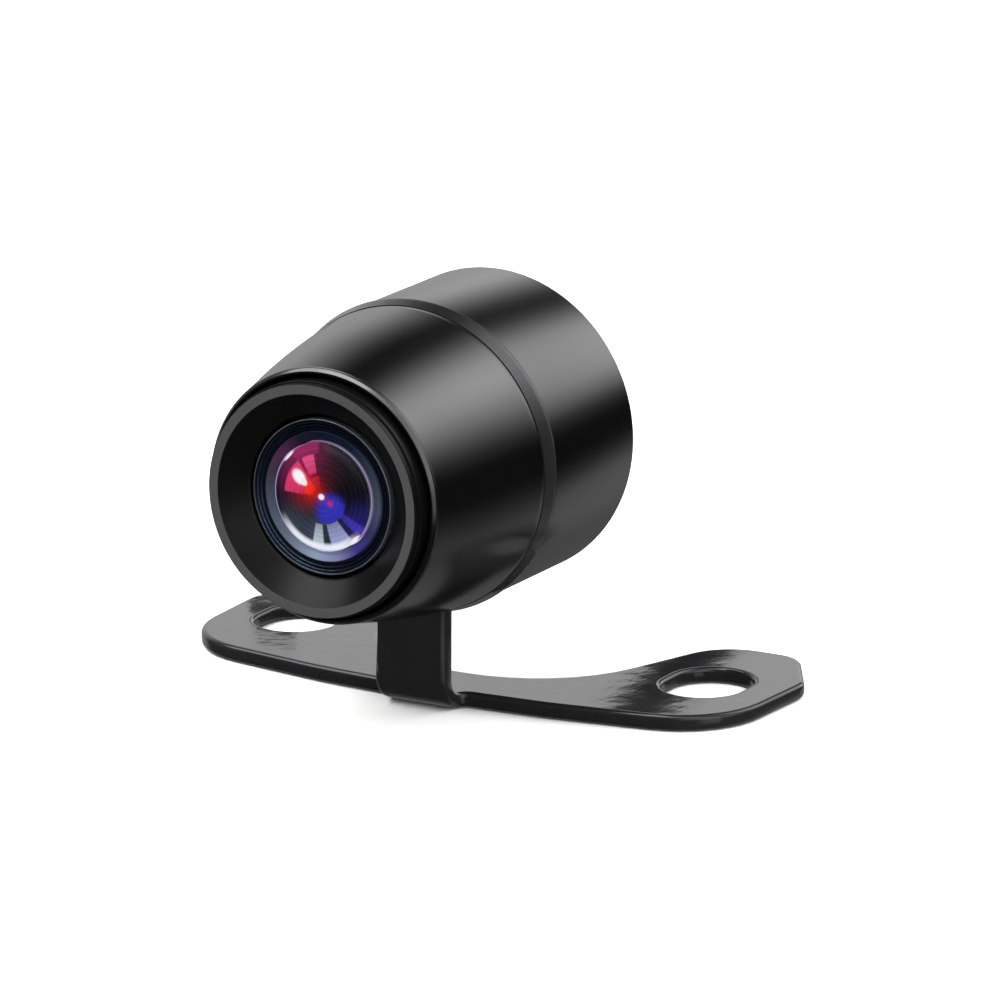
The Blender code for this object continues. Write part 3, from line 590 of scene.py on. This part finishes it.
def build_rear_housing(paint):
    """Threaded neck, crisp shoulder, plain cylinder with a softened rear edge, cable hole."""
    shoulder = bracket_low.y + SHEET_THICKNESS + REAR_GAP
    ledge = node_box("power_board")[1].y + GAP
    floor = housing_rear - REAR_WALL
    seat = housing_rear - GROMMET_SEAT_DEPTH
    outline = [(BOARD_BORE + 0.2, neck_front), (NECK_RADIUS - THREAD_DEPTH, neck_front)]
    outline += thread_outline(NECK_RADIUS, neck_front + 0.1, shell_rear + 0.1, THREAD_DEPTH)
    outline += [(NECK_RADIUS, shell_rear + 0.2)]
    outline += rounded([
        (NECK_RADIUS, shell_rear + 0.3, 0), (NECK_RADIUS, shoulder, 0.1),
        (housing_radius, shoulder, HOUSING_FRONT_EDGE),
        (housing_radius, housing_rear, HOUSING_REAR_EDGE),
        (GROMMET_SEAT_RADIUS, housing_rear, 0.05), (GROMMET_SEAT_RADIUS - 0.1, seat, 0.05),
        (CABLE_HOLE_RADIUS + 0.1, seat, 0.1), (CABLE_HOLE_RADIUS, floor, 0.0),
        (LEDGE_RADIUS, floor, 0.3), (LEDGE_RADIUS, ledge, 0.05), (BOARD_BORE, ledge, 0.05),
        (BOARD_BORE, neck_front + 0.2, 0)], closed=False)
    made = piece("round_rear_housing", turned(outline), paint, "camera_body", "rear_housing")


def build_grommet(material):
    """A rubber bush that grips the rear wall between its two flanges."""
    wall_rear = housing_rear + GAP
    wall_front = housing_rear - REAR_WALL - GAP
    outline = rounded([
        (GROMMET_BORE, grommet_front, 0.15), (grommet_radius - 0.3, grommet_front, 0.2),
        (grommet_radius, wall_front, 0.1), (GROMMET_WAIST, wall_front, 0.1),
        (GROMMET_WAIST, wall_rear, 0.1), (grommet_radius, wall_rear, 0.12),
        (grommet_radius - 0.15, wall_rear + 0.5, 0.1),
        (GROMMET_NECK_RADIUS, wall_rear + 0.55, 0.15), (GROMMET_TIP_RADIUS, grommet_rear, 0.3),
        (GROMMET_BORE + 0.3, grommet_rear, 0.15),
        (GROMMET_BORE, grommet_rear - 0.3, 0.1)])
    made = piece("rubber_cable_grommet", turned(outline, FINE_STEPS), material, "camera_body",
                 "cable_grommet")


def build_bezel(plastic):
    """Flat front rim, fine step, flange, skirt, conical recess and the sleeve round the lens."""
    recess_floor = bezel_front + RECESS_DEPTH
    flange_front = bezel_rear - BEZEL_FLANGE
    sleeve_rear = flange_front - GAP
    face_back = bezel_front + BEZEL_FACE
    outline = rounded([
        (SLEEVE_BORE, recess_floor + 0.15, 0.05), (SLEEVE_BORE + 0.12, recess_floor, 0.05),
        (RECESS_RADIUS, bezel_front, 0.03), (RIM_RADIUS, bezel_front, 0.03),
        (RIM_RADIUS, bezel_front + 0.5, 0.02), (BEZEL_BODY_RADIUS, bezel_front + 0.52, 0.05),
        (BEZEL_BODY_RADIUS, flange_front, 0), (bezel_flange_radius, flange_front, 0.08),
        (bezel_flange_radius, bezel_rear, 0.08), (SKIRT_BORE, bezel_rear, 0.05),
        (SKIRT_BORE, face_back, 0.2), (SLEEVE_RADIUS, face_back, 0.2),
        (SLEEVE_RADIUS, sleeve_rear, 0.05), (SLEEVE_BORE, sleeve_rear, 0.05)])
    made = piece("recessed_bezel", turned(outline), plastic, "front_cap", "bezel_ring")


# ---------------------------------------------------------------- lens

SEAT_RADIUS = 5.2              # of the seat that holds the glass and its retainer
SEAT_DEPTH = 2.1
RIDGES = 3
RIDGE_HEIGHT = 0.12
HEAD_LENGTH = 5.4
LENS_THREAD_RADIUS = 5.6
LENS_THREAD_DEPTH = 0.2
LENS_BORE = 4.0
LENS_TAIL_BORE = 3.0
DOME_RADIUS = 4.1
DOME_SAG = 0.95
DOME_STEPS = 40
# the surface under the glass that carries the painted reflections
REFLECTION_SURFACE_SAG = 0.12
REFLECTION_SURFACE_STEPS = 90              # close rings and spokes, as each point carries a colour
REFLECTION_SURFACE_TURNS = 240


def build_lens_barrel(metal):
    """Ridged front ring of the lens, its head, thread and bored inside."""
    inner = SEAT_RADIUS - 0.25
    outer = lens_radius
    width = (outer - 0.12 - inner) / RIDGES
    outline = []
    for ridge in range(RIDGES):
        start = inner + ridge * width
        base = lens_front + 0.34 - 0.07 * ridge
        outline += [(start, base), (start + width * 0.35, base - RIDGE_HEIGHT),
                    (start + width * 0.75, base - RIDGE_HEIGHT), (start + width * 0.9, base)]
    outline += rounded([(outer - 0.14, lens_front + 0.05, 0), (outer - 0.1, lens_front, 0.03),
                        (outer, lens_front, 0.05), (outer, lens_front + 1, 0)], closed=False)
    head_rear = lens_front + HEAD_LENGTH
    seat_floor = lens_front + SEAT_DEPTH
    outline += [(outer, head_rear), (LENS_THREAD_RADIUS, head_rear)]
    outline += thread_outline(LENS_THREAD_RADIUS, head_rear + 0.2, lens_rear - 0.2,
                              LENS_THREAD_DEPTH)
    outline += [(LENS_THREAD_RADIUS - LENS_THREAD_DEPTH, lens_rear), (LENS_TAIL_BORE, lens_rear),
                (LENS_TAIL_BORE, lens_rear - 1.0), (LENS_BORE, lens_rear - 1.0),
                (LENS_BORE, seat_floor), (SEAT_RADIUS, seat_floor),
                (SEAT_RADIUS, lens_front + 0.9), (inner, lens_front + 0.75)]
    made = piece("ridged_lens_barrel", turned(outline, FINE_STEPS), metal, "camera_body",
                 "lens_barrel", radians(20))


def build_retainer(metal):
    """The smooth sloping ring that holds the glass; it dips towards the dome."""
    outline = rounded([
        (DOME_RADIUS + 0.05, lens_front + 0.42, 0.04), (retainer_radius, lens_front + 0.1, 0.05),
        (retainer_radius, retainer_rear, 0.05), (DOME_RADIUS + 0.25, retainer_rear, 0.05)])
    made = piece("sloped_glass_retainer", turned(outline, FINE_STEPS), metal, "camera_body",
                 "glass_retainer")
    # its painted reflections and shade, by bearing
    paint_by_place(made.data, retainer_painted_light)


def dome_points(radius, front, sag, steps):
    """Points of a spherical cap, from its middle to its edge."""
    sphere = (radius ** 2 + sag ** 2) / (2 * sag)
    arms = [radius * step / steps for step in range(steps + 1)]
    return [(arm, front + sphere - (sphere ** 2 - arm ** 2) ** 0.5) for arm in arms]


def build_glass(glass, glow):
    """The clear dome, and under it a surface of glowing painted reflections and highlights that
    shows through.
    """
    rim = lens_front
    outline = dome_points(DOME_RADIUS - 0.03, glass_front, DOME_SAG, DOME_STEPS)
    outline += [(DOME_RADIUS, rim + 0.06), (DOME_RADIUS, rim + 0.2),
                (DOME_RADIUS - 0.1, rim + 0.22), (0.0, rim + 0.22)]
    dome = piece("clear_glass_dome", turned(outline, FINE_STEPS), glass, "camera_body",
                 "front_glass")
    under = dome_points(DOME_RADIUS - 0.02, rim + 0.26, REFLECTION_SURFACE_SAG, REFLECTION_SURFACE_STEPS)
    under += [(DOME_RADIUS - 0.02, glass_rear), (0.0, glass_rear)]
    builder = turned(under, REFLECTION_SURFACE_TURNS)
    body = piece("painted_reflection_surface", builder, glow, "camera_body")
    paint_by_place(body.data, painted_reflection_colour)


def tinted(base, colour, amount):
    """A colour moved part of the way towards another."""
    amount = min(max(amount, 0.0), 1.0)
    return [b + (c - b) * amount for b, c in zip(base, colour)]


def soft_step(value, low, high):
    """Eases from 0 at the low limit to 1 at the high one."""
    part = min(max((value - low) / (high - low), 0.0), 1.0)
    return part * part * (3 - 2 * part)


def sector(radius, bearing, inner, outer, start, end, blur=0.05):
    """How far a point is inside a piece of a ring, from 0 to 1, bearings in degrees."""
    middle, half = (start + end) / 2, (end - start) / 2
    off = abs((bearing - middle + 180) % 360 - 180)
    across = soft_step((half - off) * pi / 180 * radius, -blur, blur)
    return across * soft_step(radius, inner - blur, inner + blur) * (
        1 - soft_step(radius, outer - blur, outer + blur))


def glow_at(x, z, centre, size):
    """A round glow that fades away from its centre."""
    return exp(-((x - centre[0]) ** 2 + (z - centre[1]) ** 2) / size ** 2)


# Bearings are seen from the front, in degrees from the lens's right side over its top.
# painted reflections of the coated elements: soft coloured glows
PAINTED_REFLECTION_GLOWS = [                      # centre (x, z), reach, colour, strength
    ((-1.7, 2.9), 1.7, "#8c1c58", 0.8), ((-3.1, 1.2), 1.3, "#561440", 0.85),
    ((-0.9, 0.6), 0.95, "#e82410", 0.95), ((-1.6, -0.3), 0.9, "#7a1210", 0.6),
    ((0.2, 1.5), 1.0, "#38121c", 0.7), ((2.7, -2.2), 1.1, "#2c2494", 0.85),
    ((3.3, -0.9), 0.9, "#1c1c5c", 0.7), ((-2.6, -2.3), 1.4, "#3c4654", 0.7),
    ((0.0, -3.0), 1.6, "#4a5870", 0.7),
]
# a painted blue reflection pool, cut off at its edge radius
PAINTED_BLUE_REFLECTION = ((0.8, -0.95), 1.15, "#3232b0", 1.97)   # centre, reach, colour, edge radius
# painted reflections of window panes, as sectors of rings
PAINTED_WINDOW_REFLECTIONS = [                      # inner, outer, start, end, colour, strength
    (1.75, 3.1, 104, 124, "#f0508c", 0.9),
    (1.45, 3.1, 130, 179, "#ec3c74", 0.85), (0.7, 1.5, 98, 124, "#b82030", 0.8),
    (0.7, 1.4, 130, 176, "#ff3018", 0.85), (3.2, 3.9, 96, 132, "#b02c6c", 0.55),
    (2.0, 3.7, 256, 271, "#c4d0d8", 0.9), (2.0, 3.7, 271.5, 281, "#141826", 0.9),
    (2.0, 3.7, 281, 308, "#a4acdc", 0.9), (2.0, 3.9, 309, 317, "#101234", 0.9),
    (1.9, 3.8, 318, 330, "#4036b4", 0.9),
]
# painted highlights: white hot spots and a red glint, each with a painted pink halo
PAINTED_HIGHLIGHTS = [                      # centre (x, z), reach, squash, lean, colour
    ((-1.88, 1.24), 0.62, 0.72, -38, "#ffffff"), ((0.0, 0.02), 0.24, 0.9, 0, "#fff4f8"),
    ((0.68, -0.38), 0.16, 1.0, 0, "#e02058"), ((-1.45, 0.92), 0.3, 0.8, -38, "#fff6f0"),
    ((-2.9, 2.62), 0.55, 0.22, 47, "#fff4ff"), ((2.55, -2.95), 0.6, 0.3, 41, "#ffffff"),
]
PAINTED_LIGHT_RINGS = (1.0, 1.35, 1.97, 2.45, 2.8, 3.15, 3.5)   # radii of the faint lighter rings in the painted reflections
# painted reflections and shade round the retainer: darker over the top, lighter below, magenta
# upper left, violet lower right
RETAINER_PAINTED_LIGHT = [             # bearing, colour
    (0, "#454d5c"), (40, "#2a3244"), (62, "#131b2c"), (90, "#10182a"), (116, "#1c1a30"),
    (140, "#54284c"), (165, "#40384c"), (190, "#434b5a"), (225, "#535d6c"), (262, "#707c90"),
    (285, "#686c90"), (308, "#332a78"), (330, "#30325e"), (350, "#464c62"), (360, "#454d5c"),
]


def painted_reflection_colour(x, z):
    """The painted reflections and highlights at a place, in mm from the lens's centre, seen from
    ahead.
    """
    radius = (x * x + z * z) ** 0.5
    bearing = degrees(atan2(z, x)) % 360
    colour = list(linear("#08080e")[:3])
    for centre, reach, code, strength in PAINTED_REFLECTION_GLOWS:
        colour = tinted(colour, linear(code)[:3], strength * glow_at(x, z, centre, reach))
    centre, reach, code, limit = PAINTED_BLUE_REFLECTION
    pool = soft_step(1.6 * glow_at(x, z, centre, reach), 0.15, 1.0)
    colour = tinted(colour, linear(code)[:3], pool * (1 - soft_step(radius, limit - 0.05, limit)))
    for inner, outer, start, end, code, strength in PAINTED_WINDOW_REFLECTIONS:
        inside = sector(radius, bearing, inner, outer, start, end)
        fade = 0.55 + 0.45 * (radius - inner) / (outer - inner)
        colour = tinted(colour, linear(code)[:3], strength * inside * min(max(fade, 0.0), 1.0))
    for arc in PAINTED_LIGHT_RINGS:
        line = exp(-((radius - arc) / 0.035) ** 2)
        lift = [min(value * 1.5 + 0.012, 1.0) for value in colour]
        colour = tinted(colour, lift, 0.5 * line)
    for centre, reach, squash, lean, code in PAINTED_HIGHLIGHTS:
        off = Matrix.Rotation(radians(-lean), 2) @ Vector((x - centre[0], z - centre[1]))
        spread = (off.x / reach) ** 2 + (off.y / (reach * squash)) ** 2
        halo = 0.5 * exp(-spread / 2.6)
        core = soft_step(1.25 - spread ** 0.5, 0.0, 0.55)
        colour = [value + glow * halo * 0.35 for value, glow in zip(colour, linear("#ff4a6c"))]
        colour = tinted(colour, linear(code)[:3], core)
    # a painted white crescent of reflection near the lower rim
    south = -sin(radians(bearing)) - 0.12 * cos(radians(bearing))
    painted_crescent_reflection = soft_step(radius, 3.3, 3.72) * soft_step(south, 0.5, 0.9)
    colour = tinted(colour, linear("#f4f8ff")[:3], painted_crescent_reflection)
    # a painted lilac highlight round the glass's rim
    edge = exp(-((radius - 4.02) / 0.055) ** 2)
    return tinted(colour, linear("#b9aede")[:3], 0.85 * edge)


def retainer_painted_light(x, z):
    """The retainer's painted reflections and shade by bearing, eased between neighbouring tints.
    """
    bearing = degrees(atan2(z, x)) % 360
    for (start, first), (end, second) in zip(RETAINER_PAINTED_LIGHT, RETAINER_PAINTED_LIGHT[1:]):
        if start <= bearing <= end:
            return tinted(linear(first)[:3], linear(second)[:3], (bearing - start) / (end - start))


def paint_by_place(mesh, colour_at):
    """Give each point of a mesh the painted light of its place on the lens's face."""
    layer = mesh.color_attributes.new("coating", "FLOAT_COLOR", "POINT")
    for vert, store in zip(mesh.vertices, layer.data):
        store.color = (*colour_at(vert.co.x / MM, vert.co.z / MM - axis_height), 1.0)


# ---------------------------------------------------------------- insides kept from the frame

def finish_nodes(material, *names):
    """Give each named part of the frame one finish."""
    for name in names:
        mesh = frame["nodes"][name].data
        mesh.materials.clear()
        mesh.materials.append(material)


# ---------------------------------------------------------------- studio

CAMERA_AZIMUTH, CAMERA_ELEVATION, CAMERA_ROLL = 29.91, 15.22, -0.08
CAMERA_PLACE = Vector((0.28443, -0.48568, 0.16821))
CAMERA_LENS = 280.4
# Bearing about the barrel's axis in degrees, from the right side over the top, and brightness.
CYLINDER_CARDS = [
    (-180, 0.62), (-137, 0.11), (-113, 0.16), (-89, 0.25), (-74, 0.42), (-60, 0.56), (-44, 0.58),
    (-31, 0.14), (-20, 0.0), (0, 0.0), (10, 0.25), (20, 1.45), (31, 2.75), (45, 3.2), (60, 3.1),
    (71, 2.6), (82, 1.05), (92, 0.2), (102, 0.04), (112, 0.22), (125, 0.9), (140, 1.5),
    (152, 1.25), (166, 0.8), (179, 0.62),
]
CONE_CARDS = [
    (-180, 0.65), (-123, 0.2), (-100, 0.3), (-81, 0.38), (-45, 0.42), (-32, 0.2), (-20, 0.02),
    (4, 0.0), (14, 0.35), (24, 1.4), (33, 2.9), (44, 4.6), (54, 5.3), (64, 4.6), (74, 2.7),
    (84, 0.9), (94, 0.12), (108, 0.0), (118, 0.18), (132, 0.7), (146, 1.0), (164, 1.02),
    (174, 0.8), (179, 0.65),
]
BRIGHTEST = 5.4
FRONT_LOW = 0.06               # brightness of the dim room ahead, near the floor and overhead
FRONT_HIGH = 0.8
FLAG_STATION = 60.0            # the black flags stand behind the barrel, seen only in the paint
BLACK_FLAGS = [((-10.1, 12.0), (-3.9, 12.0), (-17.2, 26.0), (-22.6, 26.0)),
               ((-54.5, 17.0), (-50.5, 17.0), (-49.5, 20.5), (-53.5, 20.5))]
SIDE_PANEL = 2.2               # a panel ahead and to the right, for a barrel seen from behind
STRIP_LIGHT = 4.5              # a long strip over and beside the lens, seen only in reflections


def build_camera():
    """A long lens, well back."""
    data = bpy.data.cameras.new("camera")
    data.sensor_width = 36.0
    data.lens = CAMERA_LENS
    data.clip_start = 0.01
    camera = bpy.data.objects.new("camera", data)
    azimuth, elevation = radians(CAMERA_AZIMUTH), radians(CAMERA_ELEVATION)
    camera.location = CAMERA_PLACE
    look = Euler((pi / 2 - elevation, 0, azimuth)).to_matrix()
    camera.rotation_euler = (look @ Matrix.Rotation(radians(CAMERA_ROLL), 3, "Z")).to_euler()
    bpy.context.scene.collection.objects.link(camera)
    bpy.context.scene.camera = camera


def card_ramp(tree, place, cards):
    """Brightness by bearing, as a ramp whose white stands for the brightest card."""
    ramp = add(tree, "ShaderNodeValToRGB", None, {0: place})
    stops = ramp.color_ramp.elements
    stops.remove(stops[0])
    for index, (angle, value) in enumerate(cards):
        position = (angle + 180) / 360
        stop = stops[0] if index == 0 else stops.new(position)
        stop.position = position
        stop.color = (*[value / BRIGHTEST] * 3, 1)
    return ramp.outputs["Color"]


def build_world():
    """Soft cards behind the barrel, by bearing; ahead, a dim room with a panel and a strip."""
    world = bpy.data.worlds.new("soft_studio")
    bpy.context.scene.world = world
    world.use_nodes = True
    tree = world.node_tree
    backdrop = tree.nodes["Background"]
    way = add(tree, "ShaderNodeTexCoord").outputs["Generated"]
    axes = add(tree, "ShaderNodeSeparateXYZ", None, {0: way}).outputs
    bearing = add(tree, "ShaderNodeMath", {"operation": "ARCTAN2"}, {0: axes["Z"], 1: axes["X"]})
    place = add(tree, "ShaderNodeMapRange", {"From Min": -pi, "From Max": pi},
                {"Value": bearing.outputs[0]}).outputs["Result"]
    x, y, z = (axes[name] for name in "XYZ")
    rays = add(tree, "ShaderNodeLightPath").outputs
    straight = soft_mask(tree, (y, 0.68, 0.82, 0, 1))
    cards = add(tree, "ShaderNodeMix", {"data_type": "RGBA"},
                {MIX_AMOUNT: straight, MIX_FIRST: card_ramp(tree, place, CONE_CARDS),
                 MIX_SECOND: card_ramp(tree, place, CYLINDER_CARDS)}).outputs[MIX_RESULT]
    lit = add(tree, "ShaderNodeBackground", {"Strength": BRIGHTEST}, {"Color": cards})
    ambient = soft_mask(tree, (z, -0.2, 0.9, FRONT_LOW, FRONT_HIGH))
    panel = soft_mask(tree, (x, 0.3, 0.6, 0, SIDE_PANEL), (z, -0.1, 0.15, 0, 1),
                      (z, 0.5, 0.75, 1, 0.35))
    filled = add(tree, "ShaderNodeMath", {"operation": "ADD"}, {0: ambient, 1: panel})
    strip = soft_mask(tree, (y, -0.66, -0.5, 0, 1), (y, -0.25, -0.12, 1, 0),
                      (z, -0.4, -0.2, 0, 1), (x, -0.6, -0.4, 0, 1), (x, 0.2, 0.7, 1, 0.45),
                      (rays["Is Glossy Ray"], 0, 1, 0, 1))
    room_light = add(tree, "ShaderNodeMath", {"operation": "MULTIPLY_ADD", 1: STRIP_LIGHT},
                     {0: strip, 2: filled.outputs[0]})
    room = add(tree, "ShaderNodeBackground", None, {"Strength": room_light.outputs[0]})
    behind = soft_mask(tree, (y, 0.05, 0.4, 0, 1))
    studio = add(tree, "ShaderNodeMixShader", None,
                 {0: behind, 1: room.outputs[0], 2: lit.outputs[0]})
    backdrop.inputs["Color"].default_value = linear("#fbfbfb")
    final = add(tree, "ShaderNodeMixShader", None,
                {0: rays["Is Camera Ray"], 1: studio.outputs[0], 2: backdrop.outputs[0]})
    tree.links.new(final.outputs[0], tree.nodes["World Output"].inputs["Surface"])


def add_softbox(name, place, size, power):
    """A square light in metres and watts, aimed at the bracket's waist."""
    data = bpy.data.lights.new(name, "AREA")
    data.shape = "SQUARE"
    data.size = size
    data.energy = power
    light = bpy.data.objects.new(name, data)
    light.location = place
    light.rotation_euler = (-Vector(place)).to_track_quat("-Z", "Y").to_euler()
    bpy.context.scene.collection.objects.link(light)
    return light


def add_stage_piece(name, builder, material):
    """A studio piece; paper and flags stay out of the glass and the paper out of reflections."""
    mesh = bpy.data.meshes.new(name)
    builder.to_mesh(mesh)
    builder.free()
    mesh.materials.append(material)
    made = bpy.data.objects.new(name, mesh)
    made.visible_glossy = made.visible_transmission = False
    bpy.context.scene.collection.objects.link(made)
    return made


def build_studio():
    """Softboxes, the paper floor and the black flags, in the world's cards and room."""
    build_world()
    add_softbox("overhead_softbox", (-0.42, -0.3, 0.85), 0.85, 15.0)
    fill = add_softbox("fill_softbox", (0.5, -0.4, 0.9), 0.9, 5.0)
    fill.visible_glossy = False
    floor_builder = bmesh.new()
    bmesh.ops.create_grid(floor_builder, x_segments=8, y_segments=8, size=2.5)
    bmesh.ops.translate(floor_builder, verts=floor_builder.verts,
                        vec=(0, 0, bracket_low.z * MM - 0.0001))
    paper, tree, shader = new_material("matte_white_paper", Specular_IOR_Level=0.0)
    speckle(tree, shader, 6.0, 0.0, ("#f6f6f5", "#f9f9f8"), (0.9, 1.0))
    add_stage_piece("paper_floor", floor_builder, paper)
    felt, tree, shader = new_material("black_flag_felt", Specular_IOR_Level=0.0)
    speckle(tree, shader, 2.0, 0.0, ("#000000", "#010101"), (0.9, 1.0))
    for number, outline in enumerate(BLACK_FLAGS):
        builder = bmesh.new()
        builder.faces.new([builder.verts.new((x * MM, FLAG_STATION * MM, z * MM))
                           for x, z in outline])
        flag = add_stage_piece(f"black_flag_{number + 1}", builder, felt)
        flag.visible_camera = flag.visible_diffuse = flag.visible_shadow = False
        flag.visible_glossy = True
    bpy.context.scene.view_settings.view_transform = "Standard"


# ---------------------------------------------------------------- assembly

dip_paint = gloss_paint()
shell_paint = satin_shell_paint()
bezel_plastic = moulded_bezel()
black_rubber = rubber()
navy_metal = turned_anodised("navy_anodised_aluminium", "#10151f", "#1c2638", 0.3)
zinc = plated_steel()
solder_mask = board_resin()
nylon = plain_grained("moulded_black_nylon", ("#101010", "#181818"), (0.5, 0.65))
epoxy = plain_grained("chip_moulding_epoxy", ("#131314", "#1b1b1c"), (0.45, 0.6), 0.12)
natural_nylon = plain_grained("natural_nylon_socket", ("#d6ccb2", "#e2d9c2"), (0.4, 0.55))
optical = clear_glass()

build_bracket(dip_paint)
build_front_shell(shell_paint)
build_rear_housing(shell_paint)
build_grommet(black_rubber)
build_bezel(bezel_plastic)
build_lens_barrel(navy_metal)
build_retainer(retainer_metal_with_painted_light())
build_glass(optical, painted_reflection_glow())
finish_nodes(black_rubber, "cap_seal", "lens_seal")
finish_nodes(optical, "second_element", "middle_element", "rear_element", "sensor_glass",
             "infrared_filter")
finish_nodes(nylon, "front_spacer", "rear_spacer", "aperture_stop", "lens_holder",
             "board_clamp_ring", "board_spacer")
finish_nodes(zinc, "lens_lock_ring", "holder_screw_left", "holder_screw_right", "crystal")
finish_nodes(solder_mask, "sensor_board", "power_board")
finish_nodes(epoxy, "image_sensor", "video_processor", "power_inductor", "voltage_regulator")
finish_nodes(natural_nylon, "board_connector", "smoothing_capacitor", "cable_socket")
build_camera()
build_studio()
